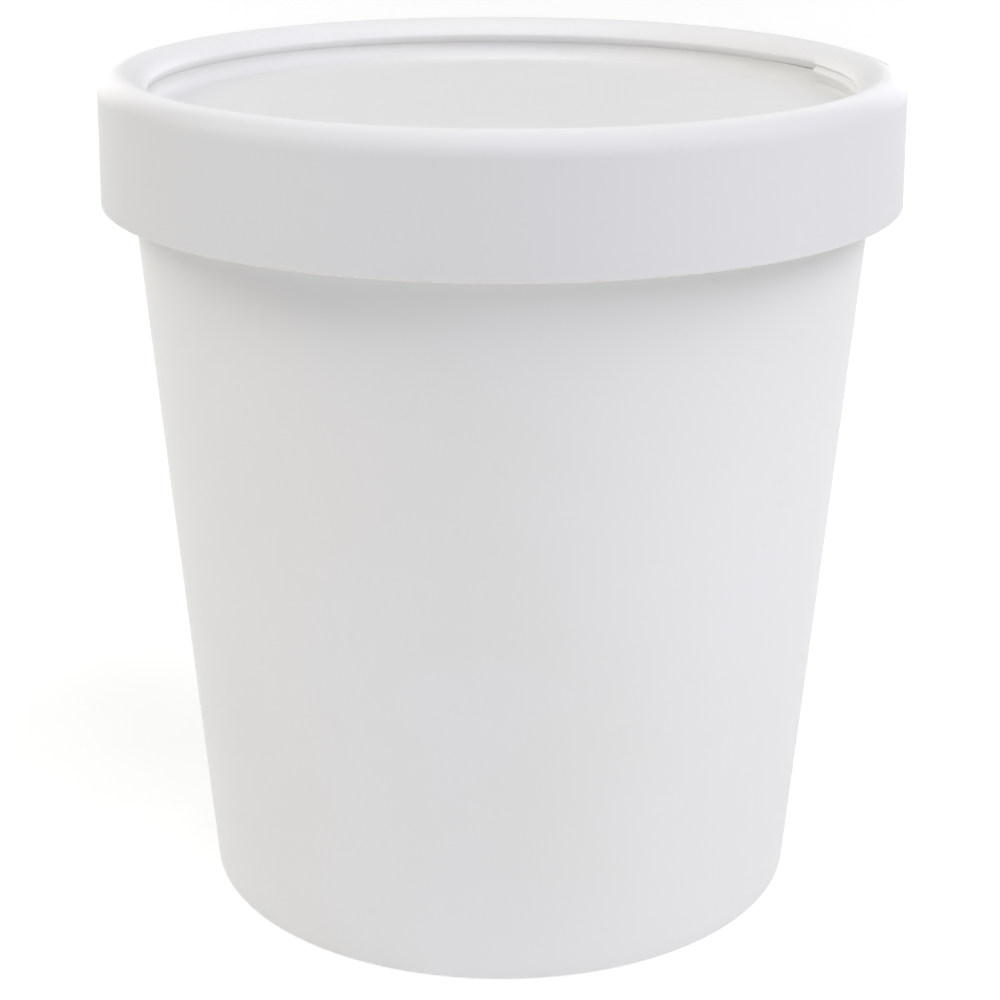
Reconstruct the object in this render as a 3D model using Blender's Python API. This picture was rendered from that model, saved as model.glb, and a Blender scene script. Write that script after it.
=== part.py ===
"""Shut freezer container: a tapered paperboard tub with its pressed-on paper lid.

The tub stands on its foot at the origin, +Z up, one round shape about the Z axis. Each piece of
board is one outline in the (radius, height) plane, turned once round that axis. Lengths are in metres.
"""

import math

import bmesh
import bpy

MM = 0.001

# The whole
TOTAL_HEIGHT = 100.0 * MM
LID_HEIGHT = 14.9 * MM
FIT_GAP = 0.3 * MM
SIDES = 96

# The tub
FOOT_RADIUS = 36.47 * MM
WALL_RADIUS_AT_HEM = 43.19 * MM
FOOT_CORNER = 0.6 * MM
FOOT_THICKNESS = 1.8 * MM
FOOT_INNER_CHAMFER = 0.25 * MM

# The base disc, set up inside the foot
BASE_LIFT = 5.5 * MM
BASE_THICKNESS = 0.6 * MM

# The lid
LID_RADIUS = 46.70 * MM
HEM_RADIUS = 46.94 * MM
LID_BOARD = 0.6 * MM
ROLL_RADIUS = 2.8 * MM
LIP_DROP = 0.2 * MM
HEM_CORNER = 0.2 * MM
PANEL_DEPTH = 4.94 * MM
COVE_RADIUS = 2.4 * MM

# Heights and radii that follow from them
HEM_HEIGHT = TOTAL_HEIGHT - LID_HEIGHT
ROLL_CENTRE = (LID_RADIUS - ROLL_RADIUS, TOTAL_HEIGHT - ROLL_RADIUS)
LIP_RADIUS = LID_RADIUS - 2 * ROLL_RADIUS
PANEL_TOP = TOTAL_HEIGHT - PANEL_DEPTH
COVE_CENTRE = (LIP_RADIUS + LID_BOARD + FIT_GAP - COVE_RADIUS, PANEL_TOP + COVE_RADIUS)
TAPER = math.atan2(WALL_RADIUS_AT_HEM - FOOT_RADIUS, HEM_HEIGHT)

# The tub's own rolled rim fills the lid's roll, a fit gap clear of the board round it
BEAD_INNER = COVE_CENTRE[0] + COVE_RADIUS + LID_BOARD + FIT_GAP
BEAD_OUTER = LID_RADIUS - LID_BOARD - FIT_GAP
BEAD_RADIUS = (BEAD_OUTER - BEAD_INNER) / 2
BEAD_CENTRE = (BEAD_INNER + BEAD_RADIUS, ROLL_CENTRE[1])

# Where that rim leaves the wall, and where it meets the hollow for the lid's disc, in degrees from outwards
BEAD_START = -100
BEAD_STOP = 170
SEAT_START = -10

# How finely each round stretch is drawn
FOOT_STEPS = 3
BEAD_STEPS = 9
SEAT_STEPS = 4
ROLL_STEPS = 10
LINING_STEPS = 8
COVE_STEPS = 5

# Plain white coated board, and the board's paler cut side
BOARD_WHITE = (0.82, 0.82, 0.81, 1.0)
INNER_WHITE = (0.78, 0.775, 0.76, 1.0)
COATED_ROUGHNESS = 0.38
PLAIN_ROUGHNESS = 0.6
SMOOTH_BELOW = math.radians(35)
MERGE = 0.001 * MM


def arc(centre, radius, start, end, steps):
    """Points of an arc from start to end, in degrees from outwards, anticlockwise."""
    points = []
    for step in range(steps + 1):
        angle = math.radians(start + (end - start) * step / steps)
        points.append((centre[0] + radius * math.cos(angle), centre[1] + radius * math.sin(angle)))
    return points


def wall_radius(height):
    """Radius of the tub's tapered outside at a height."""
    return FOOT_RADIUS + height * math.tan(TAPER)


def foot_inner_radius(height):
    """Radius of the inside of the foot, parallel to the wall."""
    return wall_radius(height) - FOOT_THICKNESS


def board(name, colour, roughness):
    """Paperboard as one plain finish."""
    material = bpy.data.materials.new(name)
    material.use_nodes = True
    shader = material.node_tree.nodes["Principled BSDF"]
    shader.inputs["Base Color"].default_value = colour
    shader.inputs["Roughness"].default_value = roughness
    shader.inputs["Metallic"].default_value = 0.0
    material.diffuse_color = colour
    return material


def turned(name, outline, material, closed=False):
    """One object from an outline turned round the Z axis; a closed outline makes a ring."""
    mesh = bpy.data.meshes.new(name)
    shape = bmesh.new()
    corners = [shape.verts.new((radius, 0.0, height)) for radius, height in outline]
    sides = list(zip(corners, corners[1:]))
    if closed:
        sides.append((corners[-1], corners[0]))
    edges = [shape.edges.new(side) for side in sides]
    bmesh.ops.spin(
        shape,
        geom=corners + edges,
        cent=(0, 0, 0),
        axis=(0, 0, 1),
        angle=math.tau,
        steps=SIDES,
        use_merge=True,
    )
    bmesh.ops.remove_doubles(shape, verts=shape.verts, dist=MERGE)
    bmesh.ops.recalc_face_normals(shape, faces=shape.faces)
    shape.to_mesh(mesh)
    shape.free()
    mesh.shade_smooth()
    mesh.set_sharp_from_angle(angle=SMOOTH_BELOW)
    mesh.materials.append(material)
    piece = bpy.data.objects.new(name, mesh)
    bpy.context.collection.objects.link(piece)
    return piece


def foot_outline():
    """The foot from the recess roof, down its inside, across the flat and round the outer corner."""
    roof = BASE_LIFT + BASE_THICKNESS + FIT_GAP
    inner_foot = foot_inner_radius(0)
    taper = math.degrees(TAPER)
    corner_centre = FOOT_RADIUS + FOOT_CORNER * math.tan(TAPER) - FOOT_CORNER / math.cos(TAPER)
    return [
        (0.0, roof),
        (foot_inner_radius(roof), roof),
        (foot_inner_radius(FOOT_INNER_CHAMFER), FOOT_INNER_CHAMFER),
        (inner_foot + FOOT_INNER_CHAMFER, 0.0),
    ] + arc((corner_centre, FOOT_CORNER), FOOT_CORNER, -90, -taper, FOOT_STEPS)


def rim_outline():
    """The rolled rim from under its outer side, over its top and into the hollow that the lid's disc sits in."""
    bead = arc(BEAD_CENTRE, BEAD_RADIUS, BEAD_START, BEAD_STOP, BEAD_STEPS)
    neck = (wall_radius(bead[0][1]), bead[0][1])
    seat_radius = COVE_RADIUS + LID_BOARD + FIT_GAP
    seat = arc(COVE_CENTRE, seat_radius, SEAT_START, -90, SEAT_STEPS)
    return [neck] + bead + seat + [(0.0, COVE_CENTRE[1] - seat_radius)]


def add_tub(material):
    """The filled, shut tub: foot, tapered wall and rolled rim in one solid."""
    return turned("tub_body", foot_outline() + rim_outline(), material)


def add_base(material):
    """The base disc, resting a little way up inside the foot."""
    top = BASE_LIFT + BASE_THICKNESS
    outline = [
        (0.0, top),
        (foot_inner_radius(top) - FIT_GAP, top),
        (foot_inner_radius(BASE_LIFT) - FIT_GAP, BASE_LIFT),
        (0.0, BASE_LIFT),
    ]
    return turned("tub_base", outline, material)


def add_lid_ring(material):
    """The lid's skirt, rolled over at the top into a lip that stands inside the rim."""
    hem_inner = HEM_RADIUS - LID_BOARD
    lip_foot = ROLL_CENTRE[1] - LIP_DROP
    outline = [
        (hem_inner, HEM_HEIGHT + HEM_CORNER),
        (hem_inner + HEM_CORNER, HEM_HEIGHT),
        (HEM_RADIUS - HEM_CORNER, HEM_HEIGHT),
        (HEM_RADIUS, HEM_HEIGHT + HEM_CORNER),
    ]
    outline += arc(ROLL_CENTRE, ROLL_RADIUS, 0, 180, ROLL_STEPS)
    outline += [(LIP_RADIUS, lip_foot), (LIP_RADIUS + LID_BOARD, lip_foot)]
    outline += arc(ROLL_CENTRE, ROLL_RADIUS - LID_BOARD, 180, 0, LINING_STEPS)
    return turned("lid_ring", outline, material, closed=True)


def add_lid_panel(material):
    """The lid's flat disc, with its edge turned up in a cove behind the lip."""
    outline = [(0.0, PANEL_TOP - LID_BOARD)]
    outline += arc(COVE_CENTRE, COVE_RADIUS + LID_BOARD, -90, 0, COVE_STEPS)
    outline += arc(COVE_CENTRE, COVE_RADIUS, 0, -90, COVE_STEPS)
    outline += [(0.0, PANEL_TOP)]
    return turned("lid_panel", outline, material)


def main():
    """Build the tub and its shut lid."""
    for old in list(bpy.data.objects):
        bpy.data.objects.remove(old)
    outside = board("coated_board", BOARD_WHITE, COATED_ROUGHNESS)
    underside = board("plain_board", INNER_WHITE, PLAIN_ROUGHNESS)
    lid_board = board("lid_board", BOARD_WHITE, COATED_ROUGHNESS)
    panel_board = board("panel_board", BOARD_WHITE, COATED_ROUGHNESS)
    add_tub(outside)
    add_base(underside)
    add_lid_ring(lid_board)
    add_lid_panel(panel_board)


main()
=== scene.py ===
"""Looks of the shut freezer container: white coated board, its folds, seams and cut edges, in a plain studio.

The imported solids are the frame. Each is replaced by a finely turned piece of the same form, which adds what
paperboard shows: overlap seams, a rolled rim with a cut lip, a crimped foot and a pressed hem.
"""

import logging
import math
from dataclasses import dataclass, field
from enum import Enum
from typing import Callable, Iterable, Sequence

import bmesh
import bpy
from mathutils import Matrix, Vector


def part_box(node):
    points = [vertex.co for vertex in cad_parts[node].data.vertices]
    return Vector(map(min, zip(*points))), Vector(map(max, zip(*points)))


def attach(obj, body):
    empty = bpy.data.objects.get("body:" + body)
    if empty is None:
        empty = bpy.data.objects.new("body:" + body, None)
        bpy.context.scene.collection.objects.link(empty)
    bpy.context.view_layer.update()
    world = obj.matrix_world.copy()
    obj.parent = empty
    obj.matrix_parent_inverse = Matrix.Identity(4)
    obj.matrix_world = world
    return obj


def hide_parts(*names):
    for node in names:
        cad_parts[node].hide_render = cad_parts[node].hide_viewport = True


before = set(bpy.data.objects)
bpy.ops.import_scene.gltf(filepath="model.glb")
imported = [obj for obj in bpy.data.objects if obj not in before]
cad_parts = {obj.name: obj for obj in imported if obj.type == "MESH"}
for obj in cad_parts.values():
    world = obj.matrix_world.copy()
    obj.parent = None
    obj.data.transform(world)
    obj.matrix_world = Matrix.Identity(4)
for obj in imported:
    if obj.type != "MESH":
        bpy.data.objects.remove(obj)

log = logging.getLogger("freezer_container")

MM = 0.001
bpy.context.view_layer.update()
ROOT_BODY = "root"

# A place in the outlines' plane or a move in it, as radius and height
Move = tuple[float, float]

# A range that something fades over
Span = tuple[float, float]

Colour = tuple[float, float, float, float]

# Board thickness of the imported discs
SOLID_BOARD = 0.6 * MM

# Points nearer than these are one point, in an outline and in a turned shape
SAME_PLACE = 0.002 * MM
WELD = 0.0005 * MM

# A seam's two edge lines lie this many degrees apart, and only faces this near to them are cut
CUT_WIDTH = 0.07
CUT_REACH = 3
CUT_SNAP = SAME_PLACE / 10

# One sector is turned, and then copied on so many times, each time doubling what there is
DOUBLINGS = 4


def smooth(low: float, high: float, value: float) -> float:
    """Smooth step from 0 at low to 1 at high."""
    share = min(1.0, max(0.0, (value - low) / (high - low)))
    return share * share * (3 - 2 * share)


def hump(centre: float, half_width: float, value: float) -> float:
    """Smooth hump of height 1 at centre, which ends half_width to either side."""
    return 1 - smooth(0.0, half_width, abs(value - centre))


def wrapped(degrees: float) -> float:
    """The same angle between -180 and 180 degrees."""
    return (degrees + 180) % 360 - 180


# Outlines


class Part(Enum):
    """Stretches of an outline, so that a bend or a finish can be given to one of them."""

    CORE = "core"
    SLOT = "slot"
    FOLD_BACK = "fold back"
    FOLD_EDGE = "fold edge"
    FOLD = "fold"
    FOOT = "foot"
    WALL = "wall"
    RIM = "rim"
    SEAT = "seat"
    HEM = "hem"
    SKIRT = "skirt"
    ROLL = "roll"
    SLOPE = "slope"
    CURL = "curl"
    LIP_EDGE = "lip edge"
    CURL_LINING = "curl lining"
    SLOPE_LINING = "slope lining"
    LINING = "lining"
    PANEL = "panel"
    COVE = "cove"
    FLANGE = "flange"
    FLANGE_EDGE = "flange edge"


CUT_PARTS = frozenset({Part.FOLD_EDGE, Part.LIP_EDGE, Part.HEM, Part.FLANGE_EDGE})


@dataclass(frozen=True)
class Stop:
    """One point of an outline: its radius and height, its stretch, and how far along that stretch it lies."""

    radius: float
    height: float
    part: Part
    share: float


@dataclass
class Outline:
    """An outline in the (radius, height) plane, drawn from stretches of lines and arcs."""

    stops: list[Stop] = field(default_factory=list)

    def line(self, part: Part, start: Move, end: Move, steps: int) -> None:
        """Add a straight stretch.

        Args:
            part: the stretch's name.
            start: its first radius and height.
            end: its last radius and height.
            steps: how many pieces it is cut into.
        """
        for step in range(steps + 1):
            share = step / steps
            radius = start[0] + (end[0] - start[0]) * share
            height = start[1] + (end[1] - start[1]) * share
            self.add(radius, height, part, share)

    def arc(
        self,
        part: Part,
        centre: Move,
        radius: float,
        start: float,
        end: float,
        steps: int,
        half_height: float | None = None,
        fullness: float = 2.0,
    ) -> None:
        """Add a round or oval stretch.

        Args:
            part: the stretch's name.
            centre: the arc's centre, as radius and height.
            radius: the arc's own radius.
            start: first angle in degrees, from outwards, anticlockwise.
            end: last angle in degrees.
            steps: how many pieces it is cut into.
            half_height: half the oval's height, where it isn't round.
            fullness: 2 for a true oval, less for flatter flanks.
        """
        tall = radius if half_height is None else half_height
        for step in range(steps + 1):
            share = step / steps
            angle = math.radians(start + (end - start) * share)
            across = math.copysign(abs(math.cos(angle)) ** (2 / fullness), math.cos(angle))
            along = math.copysign(abs(math.sin(angle)) ** (2 / fullness), math.sin(angle))
            self.add(centre[0] + radius * across, centre[1] + tall * along, part, share)

    def add(self, radius: float, height: float, part: Part, share: float) -> None:
        """Add one point, unless it repeats the last one."""
        if self.stops:
            last = self.stops[-1]
            if math.hypot(last.radius - radius, last.height - height) < SAME_PLACE:
                return
        self.stops.append(Stop(radius, height, part, share))


@dataclass
class Lathe:
    """Turns an outline round the Z axis, and then works on the turned shape by azimuth and stretch."""

    outline: Outline
    columns: int
    closed: bool = False
    shape: bmesh.types.BMesh = field(init=False)

    def __post_init__(self) -> None:
        """Turn the outline into a closed shape whose points remember their stop."""
        self.shape = bmesh.new()
        stations = self.shape.verts.layers.int.new("station")
        corners = []
        for number, stop in enumerate(self.outline.stops):
            corner = self.shape.verts.new((stop.radius, 0.0, stop.height))
            corner[stations] = number
            corners.append(corner)
        pairs = list(zip(corners, corners[1:]))
        if self.closed:
            pairs.append((corners[-1], corners[0]))
        edges = [self.shape.edges.new(pair) for pair in pairs]
        sector = math.tau / 2**DOUBLINGS
        bmesh.ops.spin(
            self.shape,
            geom=corners + edges,
            cent=(0, 0, 0),
            axis=(0, 0, 1),
            angle=sector,
            steps=self.columns // 2**DOUBLINGS,
        )
        for doubling in range(DOUBLINGS):
            every = self.shape.verts[:] + self.shape.edges[:] + self.shape.faces[:]
            copied = bmesh.ops.duplicate(self.shape, geom=every)["geom"]
            moved = [part for part in copied if isinstance(part, bmesh.types.BMVert)]
            turn = Matrix.Rotation(sector * 2**doubling, 3, "Z")
            bmesh.ops.rotate(self.shape, verts=moved, cent=(0, 0, 0), matrix=turn)
            bmesh.ops.remove_doubles(self.shape, verts=self.shape.verts, dist=WELD)
        bmesh.ops.recalc_face_normals(self.shape, faces=self.shape.faces)

    def stop_of(self, vertex: bmesh.types.BMVert) -> Stop:
        """The outline's stop that a point was turned from."""
        return self.outline.stops[vertex[self.shape.verts.layers.int["station"]]]

    def seam_line(self, azimuth: float, parts: Iterable[Part]) -> None:
        """Cut two edge lines close together down some stretches, for a board's end to stand up between them.

        Args:
            azimuth: where the first line lies, in degrees.
            parts: the stretches that are cut.
        """
        wanted = set(parts)
        for place in (azimuth, azimuth + CUT_WIDTH):
            turn = math.radians(place)
            faces = [
                face
                for face in self.shape.faces
                if abs(wrapped(azimuth_of(face.calc_center_median()) - place)) < CUT_REACH
                and all(self.stop_of(corner).part in wanted for corner in face.verts)
            ]
            edges = {edge for face in faces for edge in face.edges}
            corners = {corner for face in faces for corner in face.verts}
            bmesh.ops.bisect_plane(
                self.shape,
                geom=list(corners) + list(edges) + faces,
                dist=CUT_SNAP,
                plane_co=(0, 0, 0),
                plane_no=(-math.sin(turn), math.cos(turn), 0),
            )

    def bend(self, move: Callable[[Stop, float], Move]) -> None:
        """Move every point off the axis along its radius and its height.

        Args:
            move: gives both moves for a stop and an azimuth in degrees.
        """
        for vertex in self.shape.verts:
            radius = math.hypot(vertex.co.x, vertex.co.y)
            if radius < WELD:
                continue
            outwards, upwards = move(self.stop_of(vertex), azimuth_of(vertex.co))
            scale = (radius + outwards) / radius
            vertex.co.x *= scale
            vertex.co.y *= scale
            vertex.co.z += upwards

    def piece(
        self,
        name: str,
        face: bpy.types.Material,
        cut: bpy.types.Material,
        seams: Sequence[float] = (),
        sharp: float = 32.0,
    ) -> bpy.types.Object:
        """Make the finished object, with the board's cut sides in their own finish.

        Args:
            name: the piece's name.
            face: the finish of the board's faces.
            cut: the finish of its cut sides.
            seams: azimuths of overlap seams, whose narrow steps are cut sides.
            sharp: edges that turn by more degrees than this are creases.

        Returns:
            The new object, at the origin.
        """
        for side in self.shape.faces:
            parts = {self.stop_of(corner).part for corner in side.verts}
            middle = azimuth_of(side.calc_center_median())
            steps = (0 < wrapped(middle - seam) < CUT_WIDTH for seam in seams)
            side.material_index = 1 if parts <= CUT_PARTS or any(steps) else 0
        mesh = bpy.data.meshes.new(name)
        self.shape.to_mesh(mesh)
        self.shape.free()
        mesh.materials.append(face)
        mesh.materials.append(cut)
        mesh.shade_smooth()
        mesh.set_sharp_from_angle(angle=math.radians(sharp))
        piece = bpy.data.objects.new(name, mesh)
        bpy.context.scene.collection.objects.link(piece)
        return piece


def azimuth_of(place: Vector) -> float:
    """Azimuth of a place in degrees, from +X towards +Y."""
    return math.degrees(math.atan2(place.y, place.x))


# What handling and forming do to the board


@dataclass(frozen=True)
class Waves:
    """A faint waviness round the tub, as a few sine waves."""

    height: float
    turns: tuple[int, ...]
    start: float

    def at(self, azimuth: float) -> float:
        """Height of the wave at an azimuth in degrees."""
        turn = math.radians(azimuth)
        total = 0.0
        for number, count in enumerate(self.turns):
            total += math.sin(count * turn + self.start * (number + 1)) / (number + 1)
        return self.height * total


@dataclass(frozen=True)
class Overlap:
    """A glued seam where one end of the board lies on the other, from its azimuth on."""

    azimuth: float
    step: float
    spread: float

    def lift(self, azimuth: float) -> float:
        """How far the outer layer stands up at an azimuth in degrees."""
        past = wrapped(azimuth - self.azimuth)
        if past < CUT_WIDTH / 2:
            return 0.0
        return self.step * (1 - smooth(0.0, self.spread, past))


@dataclass(frozen=True)
class Tail:
    """The end of the lid's strip, which hangs lower than the lip between two azimuths."""

    start: float
    end: float
    fade: float
    bottom: float
    edge_thickness: float
    crease: float
    recess: float
    recess_spread: float

    def here(self, azimuth: float) -> float:
        """1 where the tail hangs, 0 elsewhere, with a sudden end and a soft start."""
        if wrapped(azimuth - self.end) > CUT_WIDTH / 2:
            return 0.0
        return smooth(0.0, self.fade, wrapped(azimuth - self.start))

    def pinch(self, azimuth: float) -> float:
        """1 just past the tail's end, where the lip lies deeper beside it, falling to 0."""
        past = wrapped(azimuth - self.end)
        return 1 - smooth(0.0, self.recess_spread, past) if past > CUT_WIDTH / 2 else 0.0


# Shader sums


class Field:
    """A socket of a node tree, so that shader sums are written as plain expressions."""

    def __init__(self, nodes: "Nodes", socket: bpy.types.NodeSocket) -> None:
        """Wrap a socket.

        Args:
            nodes: the tree's maker.
            socket: the output that the value comes from.
        """
        self.nodes = nodes
        self.socket = socket

    def __add__(self, other: "Field | float") -> "Field":
        """Sum."""
        return self.nodes.sum_of("ADD", self, other)

    __radd__ = __add__

    def __sub__(self, other: "Field | float") -> "Field":
        """Difference."""
        return self.nodes.sum_of("SUBTRACT", self, other)

    def __rsub__(self, other: float) -> "Field":
        """Difference from a number."""
        return self.nodes.sum_of("SUBTRACT", other, self)

    def __mul__(self, other: "Field | float") -> "Field":
        """Product."""
        return self.nodes.sum_of("MULTIPLY", self, other)

    def __pow__(self, other: float) -> "Field":
        """Power."""
        return self.nodes.sum_of("POWER", self, other)

    def sine(self) -> "Field":
        """Sine of the value in radians."""
        return self.nodes.sum_of("SINE", self)

    def between(self, low: float, high: float) -> "Field":
        """Smooth step from 0 at low to 1 at high."""
        return self.nodes.make(
            "ShaderNodeMapRange",
            {"interpolation_type": "SMOOTHSTEP"},
            {"Value": self, "From Min": low, "From Max": high},
        )


Value = Field | float | tuple[float, ...]


class Nodes:
    """One material's node tree, with one method that makes any node."""

    def __init__(self, name: str) -> None:
        """Start a material.

        Args:
            name: the material's name.
        """
        self.material = bpy.data.materials.new(name)
        self.material.use_nodes = True
        self.tree = self.material.node_tree
        self.shader = self.tree.nodes["Principled BSDF"]
        self.place = self.make("ShaderNodeTexCoord", output="Object")
        apart = self.make("ShaderNodeSeparateXYZ", inputs={0: self.place}, output="X")
        across = self.same(apart, "Y")
        self.height = self.same(apart, "Z")
        self.radius = (apart * apart + across * across) ** 0.5
        self.turn = self.sum_of("ARCTAN2", across, apart)

    def make(
        self,
        kind: str,
        settings: dict[str, object] | None = None,
        inputs: dict[str | int, Value] | None = None,
        output: str | int = 0,
    ) -> Field:
        """Make one node.

        Args:
            kind: the node's type.
            settings: its own settings, which are set first.
            inputs: values or links of its sockets, by name or number.
            output: which output is wanted.

        Returns:
            The wanted output.
        """
        node = self.tree.nodes.new(kind)
        for name, value in (settings or {}).items():
            setattr(node, name, value)
        for name, value in (inputs or {}).items():
            if isinstance(value, Field):
                self.tree.links.new(value.socket, node.inputs[name])
            else:
                node.inputs[name].default_value = value
        return Field(self, node.outputs[output])

    def same(self, other: Field, output: str) -> Field:
        """Another output of the node that a value comes from."""
        return Field(self, other.socket.node.outputs[output])

    def sum_of(self, operation: str, *values: Value) -> Field:
        """A Math node on one or two values."""
        return self.make("ShaderNodeMath", {"operation": operation}, dict(enumerate(values)))

    def noise(
        self,
        scale: float,
        detail: float = 2.0,
        rough: float = 0.5,
        where: Field | None = None,
    ) -> Field:
        """Noise from 0 to 1.

        Args:
            scale: lumps for each metre.
            detail: octaves.
            rough: share of the finer octaves.
            where: other coordinates than the piece's own.

        Returns:
            The noise's value.
        """
        inputs = {"Vector": where or self.place, "Scale": scale, "Detail": detail, "Roughness": rough}
        return self.make("ShaderNodeTexNoise", None, inputs, "Fac")

    def stretched(self, scale: tuple[float, float, float]) -> Field:
        """The piece's own coordinates, stretched along each axis."""
        return self.make("ShaderNodeMapping", None, {"Vector": self.place, "Scale": scale}, "Vector")

    def mixed(self, factor: Value, first: Value, second: Value) -> Field:
        """Two colours mixed by a factor."""
        inputs = {0: factor, 6: first, 7: second}
        return self.make("ShaderNodeMix", {"data_type": "RGBA"}, inputs, 2)

    def bumped(self, height: Field, distance: float, strength: float, under: Field | None = None) -> Field:
        """A bump from a height field.

        Args:
            height: the field, from 0 to 1.
            distance: how high 1 stands, in metres.
            strength: share of the bump that shows.
            under: the normal that it is laid on.

        Returns:
            The bumped normal.
        """
        inputs: dict[str | int, Value] = {"Height": height, "Distance": distance, "Strength": strength}
        if under is not None:
            inputs["Normal"] = under
        return self.make("ShaderNodeBump", None, inputs, "Normal")

    def dress(self, colour: Field, roughness: Field, normal: Field) -> None:
        """Lead the three fields that vary over the surface to the shader."""
        for name, value in (("Base Color", colour), ("Roughness", roughness), ("Normal", normal)):
            self.tree.links.new(value.socket, self.shader.inputs[name])


# Finishes


def grey(level: float) -> Colour:
    """A plain grey."""
    return level, level, level, 1.0


@dataclass(frozen=True)
class CoatedBoard:
    """White paperboard under a thin clear coating: cloudy fibre, faint orange peel, satin sheen."""

    white: Colour = (0.845, 0.843, 0.842, 1.0)
    warm: Colour = (0.835, 0.829, 0.814, 1.0)
    shaded: Colour = (0.79, 0.785, 0.775, 1.0)
    # Painted shade: a darker white, laid on where a piece's shade field is 1
    painted_shade_white: Colour = (0.755, 0.753, 0.757, 1.0)
    roughness: float = 0.48
    sheen_level: float = 0.25
    cloud_scale: float = 210.0
    fibre_scale: tuple[float, float, float] = (2300.0, 2300.0, 900.0)
    patch_scale: float = 32.0
    peel_scale: float = 620.0
    peel_height: float = 0.012 * MM
    peel: float = 0.5
    fibre_height: float = 0.006 * MM
    crease_height: float = 0.05 * MM
    relief: float = 0.6

    def make(
        self,
        name: str,
        wear: Callable[[Nodes], Field],
        creases: Callable[[Nodes], Field],
        painted_shade: Callable[[Nodes], Field] | None = None,
    ) -> bpy.types.Material:
        """Make the finish for one piece.

        Args:
            name: the material's name.
            wear: where the piece is rubbed, from 0 to 1.
            creases: height of its small folds, from 0 to 1.
            painted_shade: where its white is darkened as painted shade, from 0 to 1, if it is anywhere.

        Returns:
            The material.
        """
        nodes = Nodes(name)
        cloud = nodes.noise(self.cloud_scale, 4.0, 0.6)
        fibre = nodes.noise(1.0, 3.0, 0.65, nodes.stretched(self.fibre_scale))
        patch = nodes.noise(self.patch_scale, 2.0)
        rubbed = wear(nodes)
        plain = nodes.mixed(patch.between(0.35, 0.7), self.white, self.warm)
        # Painted shade: the white is mixed towards a darker white where the field is 1
        if painted_shade is not None:
            plain = nodes.mixed(painted_shade(nodes), plain, self.painted_shade_white)
        fibres = (cloud * 0.6 + fibre * 0.4).between(0.52, 0.9)
        fibred = nodes.mixed(fibres * 0.45, plain, self.shaded)
        colour = nodes.mixed(rubbed * cloud.between(0.3, 0.7) * 0.5, fibred, self.shaded)
        roughness = self.roughness + (cloud - 0.5) * 0.10 + (fibre - 0.5) * 0.06 + rubbed * 0.10
        skin = nodes.bumped(nodes.noise(self.peel_scale, 2.0), self.peel_height, self.peel)
        grained = nodes.bumped(fibre, self.fibre_height, self.relief, skin)
        folded = nodes.bumped(creases(nodes), self.crease_height, self.relief, grained)
        nodes.dress(colour, roughness, folded)
        nodes.shader.inputs["Specular IOR Level"].default_value = self.sheen_level
        return nodes.material


# Painted shade: the same board, made a darker white for the disc sunk inside the rim, standing in for the
# shade in that recess
SUNK_BOARD_PAINTED_SHADE = CoatedBoard(
    white=(0.80, 0.798, 0.795, 1.0),
    warm=(0.795, 0.79, 0.775, 1.0),
    shaded=(0.74, 0.735, 0.725, 1.0),
)

# Painted light: the lid's board is a lighter white than the tub's, standing in for the light on the rim's
# crest and inner half
LID_BOARD_PAINTED_LIGHT = CoatedBoard(white=(0.875, 0.872, 0.875, 1.0), warm=(0.865, 0.86, 0.85, 1.0))


@dataclass(frozen=True)
class CutBoard:
    """The board's cut side: bare layered fibre, creamier and rougher than its faces."""

    pale: Colour = (0.83, 0.81, 0.76, 1.0)
    deep: Colour = (0.62, 0.59, 0.53, 1.0)
    roughness: float = 0.85
    layer_scale: tuple[float, float, float] = (1500.0, 1500.0, 6000.0)
    fluff_scale: float = 4200.0
    relief_height: float = 0.02 * MM
    relief: float = 0.7

    def make(self, name: str) -> bpy.types.Material:
        """Make the finish under a name."""
        nodes = Nodes(name)
        layers = nodes.noise(1.0, 3.0, 0.6, nodes.stretched(self.layer_scale))
        fluff = nodes.noise(self.fluff_scale, 2.0)
        colour = nodes.mixed(layers.between(0.35, 0.75) * 0.6, self.pale, self.deep)
        roughness = self.roughness + (fluff - 0.5) * 0.15
        nodes.dress(colour, roughness, nodes.bumped(fluff + layers, self.relief_height, self.relief))
        return nodes.material


def nowhere(nodes: Nodes) -> Field:
    """No wear and no folds: a faint grain instead, so that the field still varies."""
    return nodes.noise(90.0, 2.0) * 0.05


# Sizes


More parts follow.
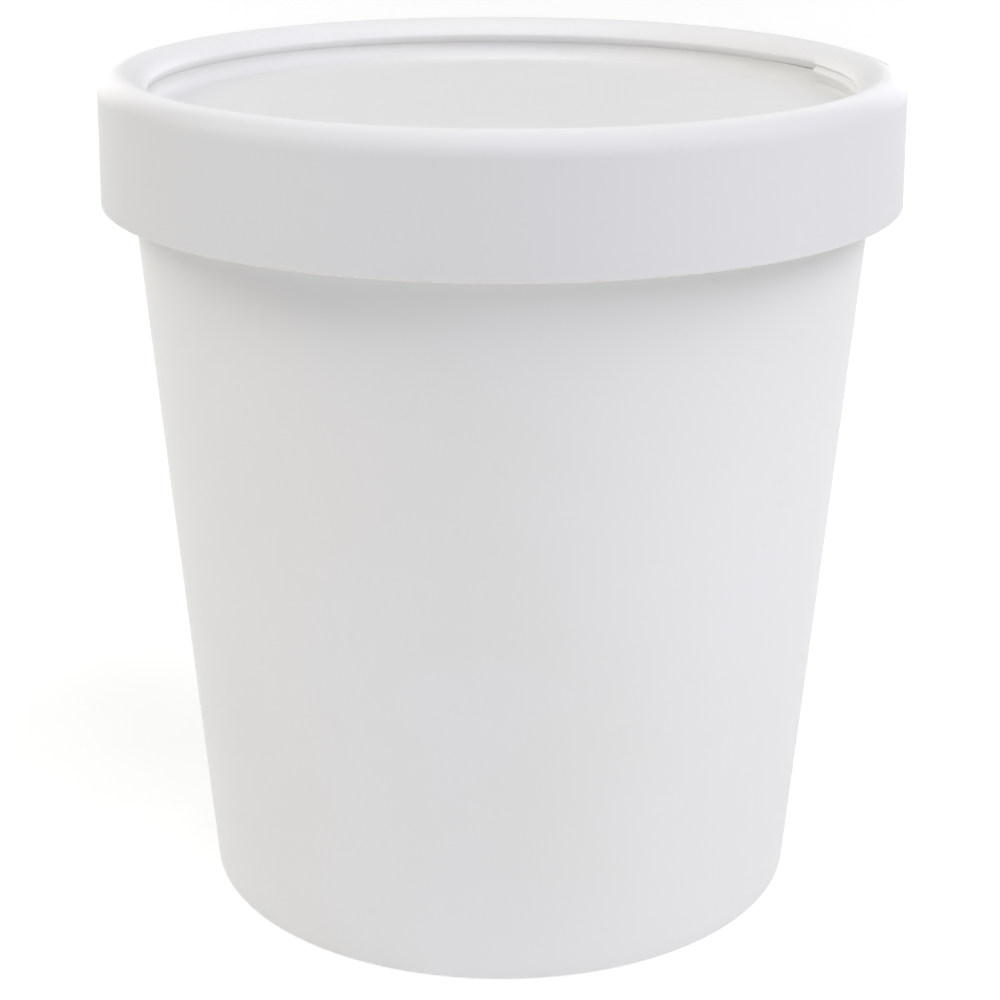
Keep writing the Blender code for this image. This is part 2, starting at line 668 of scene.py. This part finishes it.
@dataclass(frozen=True)
class LidSizes:
    """The lid's sizes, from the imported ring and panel."""

    top: float
    hem_height: float
    hem_radius: float
    panel_top: float
    hem_corner: float = 0.16 * MM
    skirt_lean: float = 0.24 * MM
    roll_radius: float = 2.8 * MM
    slope_height: float = 2.05 * MM
    slope_fullness: float = 1.4
    curl_radius: float = 1.2 * MM
    curl_end: float = 226.0
    board: float = 0.55 * MM
    cove_radius: float = 1.9 * MM
    disc_radius: float = 39.56 * MM
    disc_board: float = 0.5 * MM
    snug: float = 0.015 * MM

    @classmethod
    def from_frame(cls) -> "LidSizes":
        """Read the lid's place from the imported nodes."""
        ring_low, ring_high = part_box("lid_ring")
        panel_low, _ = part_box("lid_panel")
        return cls(ring_high.z, ring_low.z, ring_high.x, panel_low.z + SOLID_BOARD)

    @property
    def radius(self) -> float:
        """Outer radius where the skirt meets the roll."""
        return self.hem_radius - self.skirt_lean

    @property
    def roll_centre(self) -> Move:
        """Centre of the rolled rim's section."""
        return self.radius - self.roll_radius, self.top - self.roll_radius

    @property
    def slope_centre(self) -> Move:
        """Centre of the flattened oval that the roll's inner half follows."""
        return self.roll_centre[0], self.top - self.slope_height

    @property
    def curl_centre(self) -> Move:
        """Centre of the curl under the roll's inner half."""
        return self.slope_centre[0] - self.roll_radius + self.curl_radius, self.slope_centre[1]

    @property
    def lip_height(self) -> float:
        """Height of the curl's foot, where the board ends."""
        return self.curl_height(self.curl_end)

    def curl_height(self, angle: float) -> float:
        """Height of the curl's face at an angle in degrees."""
        return self.curl_centre[1] + self.curl_radius * math.sin(math.radians(angle))

    @property
    def cove_centre(self) -> Move:
        """Centre of the panel's turned-up edge."""
        return self.disc_radius, self.panel_top + self.cove_radius

    def cove_face(self, height: float) -> float:
        """Radius of the face of the panel's turned-up edge at a height."""
        drop = max(0.0, self.cove_centre[1] - height)
        return self.disc_radius + math.sqrt(max(0.0, self.cove_radius**2 - drop**2))


@dataclass(frozen=True)
class TubSizes:
    """The tub's sizes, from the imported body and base."""

    rim_top: float
    rim_radius: float
    base_low: float
    foot_radius: float = 36.47 * MM
    slope: float = 6.72 / 85.1
    board: float = 0.5 * MM
    foot_width: float = 1.8 * MM
    foot_corner: float = 0.65 * MM
    inner_corner: float = 0.45 * MM
    fold_top: float = 4.8 * MM
    slot_floor: float = 3.0 * MM
    snug: float = 0.05 * MM
    rim_roll: float = 1.45 * MM
    rim_start: float = -100.0
    rim_end: float = 165.0
    seat_start: float = -12.0
    seat_gap: float = 0.2 * MM
    base_bend: float = 0.7 * MM
    base_inset: float = 0.2 * MM
    base_corner: float = 0.4 * MM
    base_edge_lift: float = 0.2 * MM
    base_slack: float = 0.02 * MM

    @classmethod
    def from_frame(cls) -> "TubSizes":
        """Read the tub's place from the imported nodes."""
        _, body_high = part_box("tub_body")
        base_low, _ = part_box("tub_base")
        return cls(body_high.z, body_high.x, base_low.z)

    def outside(self, height: float) -> float:
        """Radius of the tapered outside at a height."""
        return self.foot_radius + height * self.slope

    def inside(self, height: float) -> float:
        """Radius of the wall's inner face at a height."""
        return self.outside(height) - self.board

    def fold_face(self, height: float) -> float:
        """Radius of the folded-in board's face, towards the hollow under the base."""
        return self.outside(height) - self.foot_width

    def fold_back(self, height: float) -> float:
        """Radius of the folded-in board's back."""
        return self.fold_face(height) + self.board


# The tub


@dataclass
class Tub:
    """The tapered tub: a wall rolled out at its rim and folded in at its foot, round a raised base disc.

    Attributes:
        crimp_top: share of the fold, from its top down, over which the crimps come in.
        crimp_foot: share over which they go out again.
        fold_step: share of the seam's step that shows on the fold.
        fold_fade: share of the fold over which that step goes out.
        foot_fade: how far inside the foot's outer radius the seam's step comes in.
    """

    sizes: TubSizes
    lid: LidSizes
    columns: int = 720
    base_columns: int = 352
    seam: Overlap = Overlap(azimuth=101.0, step=0.38 * MM, spread=26.0)
    roundness: Waves = Waves(height=0.035 * MM, turns=(2, 3, 5), start=0.9)
    crimps: int = 90
    crimp_depth: float = 0.07 * MM
    crimp_top: Span = (0.08, 0.22)
    crimp_foot: Span = (0.78, 0.92)
    fold_waves: Waves = Waves(height=0.07 * MM, turns=(3, 7, 16), start=2.1)
    fold_step: float = 0.8
    fold_fade: Span = (0.8, 1.0)
    foot_fade: Span = (1.2 * MM, 0.5 * MM)

    def wall_outline(self) -> Outline:
        """Outline of the shut tub, from the hollow under its base round the foot to the lid's seat."""
        s = self.sizes
        outline = Outline()
        roof = s.base_low + SOLID_BOARD + s.snug
        slot_inside = (s.inside(s.slot_floor), s.slot_floor)
        slot_back = (s.fold_back(s.slot_floor), s.slot_floor)
        outline.line(Part.CORE, (0.0, roof), (s.inside(roof), roof), 6)
        outline.line(Part.SLOT, (s.inside(roof), roof), slot_inside, 5)
        outline.line(Part.SLOT, slot_inside, slot_back, 1)
        outline.line(Part.FOLD_BACK, slot_back, (s.fold_back(s.fold_top), s.fold_top), 4)
        middle = (s.fold_back(s.fold_top) + s.fold_face(s.fold_top)) / 2
        outline.arc(Part.FOLD_EDGE, (middle, s.fold_top), s.board / 2, 0, 180, 6)
        inner = s.inner_corner
        outline.line(Part.FOLD, (s.fold_face(s.fold_top), s.fold_top), (s.fold_face(inner), inner), 16)
        outline.arc(Part.FOOT, (s.fold_face(inner) + inner, inner), inner, 180, 270, 5)
        lean = math.atan(s.slope)
        corner = s.foot_corner
        corner_radius = s.foot_radius + corner * s.slope - corner / math.cos(lean)
        outline.arc(Part.FOOT, (corner_radius, corner), corner, 270, 360 - math.degrees(lean), 7)
        rim_centre = (s.rim_radius - s.rim_roll, s.rim_top - s.rim_roll)
        neck = rim_centre[1] + s.rim_roll * math.sin(math.radians(s.rim_start))
        wall_foot = corner - corner * math.sin(lean)
        outline.line(Part.WALL, (s.outside(wall_foot), wall_foot), (s.outside(neck), neck), 26)
        outline.arc(Part.RIM, rim_centre, s.rim_roll, s.rim_start, s.rim_end, 18)
        seat = self.lid.cove_radius + SOLID_BOARD + s.seat_gap
        seat_centre = self.lid.cove_centre
        seat_height = seat_centre[1] - seat
        outline.arc(Part.SEAT, seat_centre, seat, s.seat_start, -90, 8)
        outline.line(Part.SEAT, (seat_centre[0], seat_height), (0.0, seat_height), 3)
        return outline

    def wall_move(self, stop: Stop, azimuth: float) -> Move:
        """What forming does to the wall at one stop and azimuth."""
        foot = self.sizes.foot_radius
        lift = self.seam.lift(azimuth)
        down = stop.share
        if stop.part is Part.WALL:
            return self.roundness.at(azimuth) * math.sin(math.pi * stop.share) + lift, 0.0
        if stop.part is Part.FOLD:
            pressed = smooth(*self.crimp_top, down) * (1 - smooth(*self.crimp_foot, down))
            crimp = math.sin(math.radians(azimuth) * self.crimps) * self.crimp_depth * pressed
            step = lift * self.fold_step * (1 - smooth(*self.fold_fade, down))
            return crimp - step, self.fold_waves.at(azimuth) * (1 - down)
        if stop.part is Part.FOLD_EDGE:
            return 0.0, self.fold_waves.at(azimuth)
        if stop.part is Part.FOOT:
            outer = smooth(foot - self.foot_fade[0], foot - self.foot_fade[1], stop.radius)
            return lift * outer * (1.0 if stop.height > 0 else 0.0), 0.0
        return 0.0, 0.0

    def build_wall(self, face: bpy.types.Material, cut: bpy.types.Material) -> bpy.types.Object:
        """Turn, seam and crimp the wall."""
        lathe = Lathe(self.wall_outline(), self.columns)
        lathe.seam_line(self.seam.azimuth, (Part.WALL, Part.FOOT, Part.FOLD))
        lathe.bend(self.wall_move)
        wall = lathe.piece("tub_wall", face, cut, seams=(self.seam.azimuth,))
        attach(wall, ROOT_BODY)
        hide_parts("tub_body")
        return wall

    def base_outline(self) -> Outline:
        """Outline of the base disc, whose edge turns down into the foot's fold."""
        s = self.sizes
        outline = Outline()
        top = s.base_low + s.board
        foot = s.slot_floor + s.base_edge_lift
        face = s.fold_back(s.fold_top) + s.snug
        back = face + s.board
        bend_foot = top - s.base_bend - s.base_inset
        bend_centre = (back - s.base_bend - s.base_inset, bend_foot)
        edge_back = (s.inside(foot) - s.snug, foot)
        edge_face = (s.fold_back(foot) + s.snug, foot)
        corner = s.base_corner
        under = s.base_low - corner
        outline.line(Part.PANEL, (0.0, top), (back - s.base_bend, top), 16)
        outline.arc(Part.COVE, bend_centre, s.base_bend + s.base_inset, 90, 0, 8)
        outline.line(Part.FLANGE, (back - s.base_slack, bend_foot), edge_back, 4)
        outline.line(Part.FLANGE_EDGE, edge_back, edge_face, 1)
        outline.line(Part.FLANGE, edge_face, (face, under), 4)
        outline.arc(Part.COVE, (face - corner, under), corner, 0, 90, 6)
        outline.line(Part.PANEL, (face - corner, s.base_low), (0.0, s.base_low), 16)
        return outline

    def build_base(self, face: bpy.types.Material, cut: bpy.types.Material) -> bpy.types.Object:
        """Turn the base disc."""
        lathe = Lathe(self.base_outline(), self.base_columns)
        base = lathe.piece("tub_base_disc", face, cut)
        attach(base, ROOT_BODY)
        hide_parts("tub_base")
        return base


# The lid


@dataclass
class Lid:
    """The lid: a strip rolled over at the top into a lip, round a sunk disc.

    Attributes:
        tail_gap: how far the tail's back stays off the disc's turned-up edge.
        tail_thinning: share of the tail, from its crease down, where it starts to thin.
        tail_settling: share over which it comes to lie on the disc's edge.
        pinch_angles: angles round the roll over which the recess beside the tail comes in.
    """

    sizes: LidSizes
    columns: int = 640
    seam: Overlap = Overlap(azimuth=6.0, step=0.25 * MM, spread=12.0)
    tail: Tail = Tail(
        start=-9.0,
        end=21.0,
        fade=9.0,
        bottom=96.1 * MM,
        edge_thickness=0.15 * MM,
        crease=0.22 * MM,
        recess=0.42 * MM,
        recess_spread=17.0,
    )
    tail_gap: float = 0.03 * MM
    tail_thinning: float = 0.45
    tail_settling: float = 0.3
    crease_angle: float = 190.0
    crease_spread: float = 16.0
    pinch_angles: Span = (150.0, 208.0)
    roll_waves: Waves = Waves(height=0.05 * MM, turns=(2, 3, 7), start=0.4)
    crest_dip: float = 0.3
    lip_sway: float = 0.25
    skirt_sway: float = 0.4
    skirt_inset: float = 0.02 * MM
    hem_press: float = 0.035 * MM
    hem_press_height: float = 0.75 * MM
    hem_press_spread: float = 0.5 * MM
    disc_sag: float = 0.10 * MM
    disc_sway: float = 0.5

    def ring_outline(self) -> Outline:
        """Closed outline of the strip: hem, skirt, roll, its curled-under end, and back down its lining."""
        s = self.sizes
        outline = Outline()
        corner = s.hem_corner
        inner_hem = s.hem_radius - s.board
        hem_top = s.hem_height + corner
        full = s.slope_fullness
        outline.arc(Part.HEM, (inner_hem + corner, hem_top), corner, 180, 270, 3)
        outline.arc(Part.HEM, (s.hem_radius - corner, hem_top), corner, 270, 360, 4)
        outline.line(Part.SKIRT, (s.hem_radius, hem_top), (s.radius, s.roll_centre[1]), 30)
        outline.arc(Part.ROLL, s.roll_centre, s.roll_radius, 0, 90, 16)
        outline.arc(Part.SLOPE, s.slope_centre, s.roll_radius, 90, 180, 26, s.slope_height, full)
        outline.arc(Part.CURL, s.curl_centre, s.curl_radius, 180, s.curl_end, 16)
        face = outline.stops[-1]
        thin = s.curl_radius - s.board
        end = math.radians(s.curl_end)
        back = (s.curl_centre[0] + thin * math.cos(end), s.curl_centre[1] + thin * math.sin(end))
        outline.line(Part.LIP_EDGE, (face.radius, face.height), back, 3)
        outline.arc(Part.CURL_LINING, s.curl_centre, thin, s.curl_end, 180, 10)
        width = s.roll_radius - s.board
        height = s.slope_height - s.board
        outline.arc(Part.SLOPE_LINING, s.slope_centre, width, 180, 90, 14, height, full)
        outline.arc(Part.LINING, s.roll_centre, width, 90, 0, 8)
        outline.line(Part.LINING, (s.radius - s.board, s.roll_centre[1]), (inner_hem, hem_top), 10)
        return outline

    def tail_place(self, down: float, behind: float) -> Move:
        """Where the hanging tail lies against the panel's turned-up edge.

        Args:
            down: 0 at the crease, 1 at the tail's cut edge.
            behind: 0 on its face, 1 on its back.

        Returns:
            The radius and the height.
        """
        s = self.sizes
        crease_height = s.curl_height(self.crease_angle)
        height = crease_height + (self.tail.bottom - crease_height) * down
        thinned = smooth(self.tail_thinning, 1.0, down)
        thickness = s.board + (self.tail.edge_thickness - s.board) * thinned
        back = s.cove_face(height) - self.tail_gap
        return back - thickness * (1 - behind), height

    def dip(self, angle: float, azimuth: float) -> float:
        """How far the rim's crest dips in its waves, at an angle round the roll."""
        return abs(self.roll_waves.at(azimuth)) * self.crest_dip * hump(90, 60, angle)

    def curl_move(self, stop: Stop, angle: float, behind: float, azimuth: float) -> Move:
        """What rolling and gluing do to the curled-under half of the roll.

        Args:
            stop: the stop.
            angle: how far round the roll it lies, in degrees from outwards.
            behind: 0 on the board's face, 1 on its back.
            azimuth: where it lies round the lid, in degrees.

        Returns:
            The moves along the radius and the height.
        """
        tail = self.tail.here(azimuth)
        out = self.roll_waves.at(azimuth) * self.lip_sway * smooth(110, 170, angle)
        out += self.tail.pinch(azimuth) * self.tail.recess * smooth(*self.pinch_angles, angle)
        up = -self.dip(angle, azimuth)
        if behind == 0:
            out += self.seam.lift(azimuth) * (1 - smooth(90, 150, angle))
            out += tail * self.tail.crease * hump(self.crease_angle, self.crease_spread, angle)
        if angle > self.crease_angle:
            down = (angle - self.crease_angle) / (self.sizes.curl_end - self.crease_angle)
            place = self.tail_place(down, behind)
            settled = tail * smooth(0.0, self.tail_settling, down)
            out += settled * (place[0] - stop.radius)
            up += tail * (place[1] - stop.height)
        return out, up

    def ring_move(self, stop: Stop, azimuth: float) -> Move:
        """What rolling, gluing and handling do to the ring at one stop and azimuth."""
        s = self.sizes
        lift = self.seam.lift(azimuth)
        curl = s.curl_end - 180
        if stop.part is Part.HEM:
            return lift * (1.0 if stop.radius > s.hem_radius - s.board / 2 else 0.0), 0.0
        if stop.part is Part.SKIRT:
            above = stop.height - s.hem_height
            pressed = self.hem_press * hump(self.hem_press_height, self.hem_press_spread, above)
            sway = self.skirt_sway * self.roll_waves.at(azimuth) * math.sin(math.pi * stop.share)
            return lift - pressed - self.skirt_inset + sway, 0.0
        if stop.part is Part.ROLL:
            return lift, -self.dip(90 * stop.share, azimuth)
        if stop.part is Part.SLOPE:
            return self.curl_move(stop, 90 + 90 * stop.share, 0.0, azimuth)
        if stop.part is Part.CURL:
            return self.curl_move(stop, 180 + curl * stop.share, 0.0, azimuth)
        if stop.part is Part.LIP_EDGE:
            return self.curl_move(stop, s.curl_end, stop.share, azimuth)
        if stop.part is Part.CURL_LINING:
            return self.curl_move(stop, s.curl_end - curl * stop.share, 1.0, azimuth)
        if stop.part is Part.SLOPE_LINING:
            return self.curl_move(stop, 180 - 90 * stop.share, 1.0, azimuth)
        return 0.0, 0.0

    def build_ring(self, face: bpy.types.Material, cut: bpy.types.Material) -> bpy.types.Object:
        """Turn, roll and seam the ring."""
        lathe = Lathe(self.ring_outline(), self.columns, closed=True)
        lathe.seam_line(self.seam.azimuth, (Part.HEM, Part.SKIRT, Part.ROLL, Part.SLOPE))
        lathe.seam_line(
            self.tail.end,
            (Part.SLOPE, Part.CURL, Part.LIP_EDGE, Part.CURL_LINING, Part.SLOPE_LINING),
        )
        lathe.bend(self.ring_move)
        ring = lathe.piece("lid_skirt", face, cut, seams=(self.seam.azimuth, self.tail.end))
        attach(ring, ROOT_BODY)
        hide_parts("lid_ring")
        return ring

    def panel_outline(self) -> Outline:
        """Outline of the sunk disc, whose edge turns up behind the lip."""
        s = self.sizes
        under = s.panel_top - s.disc_board
        drop = s.cove_centre[1] - (s.lip_height - s.snug)
        edge = s.cove_centre[1] - drop
        outer = s.cove_radius + s.disc_board
        outer_edge = (s.cove_centre[0] + math.sqrt(outer**2 - drop**2), edge)
        outline = Outline()
        outline.line(Part.CORE, (0.0, under), (s.cove_centre[0], under), 8)
        outline.arc(Part.CORE, s.cove_centre, outer, -90, -math.degrees(math.asin(drop / outer)), 10)
        face_angle = -math.degrees(math.asin(drop / s.cove_radius))
        outline.line(Part.FLANGE_EDGE, outer_edge, (s.cove_face(edge), edge), 1)
        outline.arc(Part.COVE, s.cove_centre, s.cove_radius, face_angle, -90, 18)
        outline.line(Part.PANEL, (s.cove_centre[0], s.panel_top), (0.0, s.panel_top), 40)
        return outline

    def panel_move(self, stop: Stop, azimuth: float) -> Move:
        """The disc's faint sag and a faint waviness that grows towards its turned-up edge and stops just
        short of it.
        """
        if stop.part is Part.PANEL:
            out = stop.radius / self.sizes.disc_radius
            sag = -self.disc_sag * (1 - out * out)
            sway = self.roll_waves.at(azimuth) * out * out * self.disc_sway
            return 0.0, sag + sway * (1 - smooth(0.95, 0.99, out))
        return 0.0, 0.0

    def build_panel(self, face: bpy.types.Material, cut: bpy.types.Material) -> bpy.types.Object:
        """Turn the sunk disc."""
        lathe = Lathe(self.panel_outline(), self.columns)
        lathe.bend(self.panel_move)
        panel = lathe.piece("lid_top", face, cut)
        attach(panel, ROOT_BODY)
        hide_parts("lid_panel")
        return panel


# The studio


@dataclass(frozen=True)
class Softbox:
    """One soft light, aimed at the tub, and turned round it from the camera towards the right."""

    name: str
    turn: float
    distance: float
    height: float
    power: float
    tint: tuple[float, float, float] = (1.0, 1.0, 1.0)
    side: float = 0.45
    aim: tuple[float, float, float] = (0.0, 0.0, 0.055)

    def build(self) -> bpy.types.Object:
        """Add the light."""
        data = bpy.data.lights.new(self.name, "AREA")
        data.shape = "SQUARE"
        data.size = self.side
        data.energy = self.power
        data.color = self.tint
        light = bpy.data.objects.new(self.name, data)
        turn = math.radians(self.turn)
        light.location = (self.distance * math.sin(turn), -self.distance * math.cos(turn), self.height)
        towards = Vector(self.aim) - light.location
        light.rotation_euler = towards.to_track_quat("-Z", "Y").to_euler()
        bpy.context.scene.collection.objects.link(light)
        return light


@dataclass
class Studio:
    """Plain pale floor, soft lights and the photograph's camera."""

    camera_place: tuple[float, float, float] = (-0.15 * MM, -265.2 * MM, 138.0 * MM)
    look_down: float = 0.3331
    roll: float = 0.0024
    focal_pixels: float = 2258.0
    picture_pixels: float = 1000.0
    sensor: float = 36.0
    floor_half: float = 6.0
    floor_drop: float = 0.02 * MM
    floor_pale: Colour = grey(0.50)
    floor_grain: Colour = grey(0.48)
    glow: float = 0.61
    glow_near: Colour = grey(0.94)
    glow_far: Colour = grey(1.0)
    glow_reach: Span = (0.05, 0.35)
    ambient: float = 0.04
    softboxes: tuple[Softbox, ...] = (
        Softbox("front_softbox", 0, 0.42, 0.95, 2.1, (0.99, 0.98, 1.03)),
        Softbox("front_right_softbox", 30, 0.72, 0.68, 2.1, (0.98, 0.98, 1.07)),
        Softbox("high_right_softbox", 60, 0.42, 0.95, 1.3, (1.0, 0.99, 1.1)),
        Softbox("high_left_softbox", -60, 0.42, 0.95, 0.7, (1.05, 1.03, 0.95)),
        Softbox("right_softbox", 90, 0.72, 0.68, 2.5, (1.0, 1.0, 1.04)),
        Softbox("left_softbox", -90, 0.72, 0.68, 3.0, (1.05, 1.04, 0.95)),
        Softbox("back_right_softbox", 150, 1.45, 0.38, 5.2, side=0.72),
        Softbox("back_left_softbox", -150, 1.45, 0.38, 6.2, side=0.72),
    )

    def build_camera(self) -> bpy.types.Object:
        """Add the camera at the photograph's place, with its focal length."""
        data = bpy.data.cameras.new("photo_camera")
        data.sensor_width = self.sensor
        data.lens = self.focal_pixels / self.picture_pixels * self.sensor
        data.clip_start = 0.01
        data.clip_end = 50.0
        camera = bpy.data.objects.new("photo_camera", data)
        tilt = Matrix.Rotation(math.pi / 2 - self.look_down, 4, "X")
        lean = Matrix.Rotation(self.roll, 4, "Z")
        camera.matrix_world = Matrix.Translation(self.camera_place) @ tilt @ lean
        bpy.context.scene.collection.objects.link(camera)
        bpy.context.scene.camera = camera
        return camera

    def build_floor(self) -> bpy.types.Object:
        """Add the floor, a plain pale sheet that glows a little, as a light table does."""
        shape = bmesh.new()
        bmesh.ops.create_grid(shape, x_segments=8, y_segments=8, size=self.floor_half)
        mesh = bpy.data.meshes.new("floor")
        shape.to_mesh(mesh)
        shape.free()
        mesh.materials.append(self.floor_finish())
        floor = bpy.data.objects.new("floor", mesh)
        floor.location.z = -self.floor_drop
        bpy.context.scene.collection.objects.link(floor)
        return floor

    def floor_finish(self) -> bpy.types.Material:
        """Matt white with the faintest grain, which glows more away from the tub."""
        nodes = Nodes("floor_white")
        grain = nodes.noise(40.0, 3.0)
        colour = nodes.mixed(grain.between(0.3, 0.7), self.floor_pale, self.floor_grain)
        nodes.dress(colour, 0.75 + grain * 0.1, nodes.bumped(grain, 0.02 * MM, 0.2))
        away = nodes.mixed(nodes.radius.between(*self.glow_reach), self.glow_near, self.glow_far)
        nodes.tree.links.new(away.socket, nodes.shader.inputs["Emission Color"])
        nodes.shader.inputs["Emission Strength"].default_value = self.glow
        return nodes.material

    def build_surroundings(self) -> None:
        """Light the room evenly, and show whites as they are."""
        scene = bpy.context.scene
        world = bpy.data.worlds.new("studio_room")
        world.use_nodes = True
        sky = world.node_tree.nodes["Background"]
        sky.inputs["Color"].default_value = grey(1.0)
        sky.inputs["Strength"].default_value = self.ambient
        scene.world = world
        scene.view_settings.view_transform = "Standard"

    def build(self) -> None:
        """Add everything round the tub."""
        self.build_camera()
        self.build_floor()
        self.build_surroundings()
        for softbox in self.softboxes:
            softbox.build()
            log.info("light %s", softbox.name)


# Wear and folds of each piece


def tub_wear(nodes: Nodes) -> Field:
    """The tub is rubbed at its foot."""
    return 1 - nodes.height.between(0.2 * MM, 1.6 * MM)


def tub_folds(nodes: Nodes) -> Field:
    """Faint upright rolling marks that the wall keeps from being wound."""
    marks = (nodes.turn * 40.0 + nodes.noise(18.0) * 6.0).sine()
    return marks * 0.04 + nodes.noise(90.0, 2.0) * 0.05


def lid_crest_wear_and_hem_marks(nodes: Nodes) -> Field:
    """The lid is rubbed along the crest of its rim, and is darker and rougher in patches along its hem."""
    crest = nodes.height.between(99.55 * MM, 99.95 * MM)
    hem = 1 - nodes.height.between(85.2 * MM, 86.0 * MM)
    return crest * 0.6 + hem


def lid_folds(nodes: Nodes) -> Field:
    """Fine gathers across the inner half of the roll, where the board is drawn in."""
    inner = 1 - nodes.radius.between(42.0 * MM, 44.2 * MM)
    gathers = (nodes.turn * 150.0 + nodes.noise(70.0, 2.0) * 9.0).sine() * 0.5 + 0.5
    return gathers * inner * nodes.noise(55.0, 2.0).between(0.35, 0.65)


def skirt_painted_shade(nodes: Nodes) -> Field:
    """Painted shade: the skirt and the outside of the shoulder are a darker white than the rim's crest and
    inner half, standing in for the shade on the upright skirt.
    """
    return nodes.radius.between(44.3 * MM, 46.2 * MM)


def main() -> None:
    """Build the studio, the tub and the lid, and report each piece."""
    logging.basicConfig(level=logging.INFO, format="%(message)s")
    Studio().build()
    lid_sizes = LidSizes.from_frame()
    tub = Tub(TubSizes.from_frame(), lid_sizes)
    lid = Lid(lid_sizes)
    board = CoatedBoard()
    bare = CutBoard()
    wall_board = board.make("tub_board", tub_wear, tub_folds)
    wall = tub.build_wall(wall_board, bare.make("tub_cut_edge"))
    base_board = board.make("base_board", nowhere, nowhere)
    base = tub.build_base(base_board, bare.make("base_cut_edge"))
    # Painted light and painted shade: the lid's board is a lighter white on the rim and a darker white on its
    # skirt
    ring_board = LID_BOARD_PAINTED_LIGHT.make("lid_board", lid_crest_wear_and_hem_marks, lid_folds, skirt_painted_shade)
    ring = lid.build_ring(ring_board, bare.make("lid_cut_edge"))
    # Painted shade: the sunk disc's board is a darker white
    disc_board = SUNK_BOARD_PAINTED_SHADE.make("panel_board", nowhere, nowhere)
    disc = lid.build_panel(disc_board, bare.make("panel_cut_edge"))
    pieces = [wall, base, ring, disc]
    for piece in pieces:
        log.info("piece %s has %d faces", piece.name, len(piece.data.polygons))


if __name__ == "__main__":
    main()
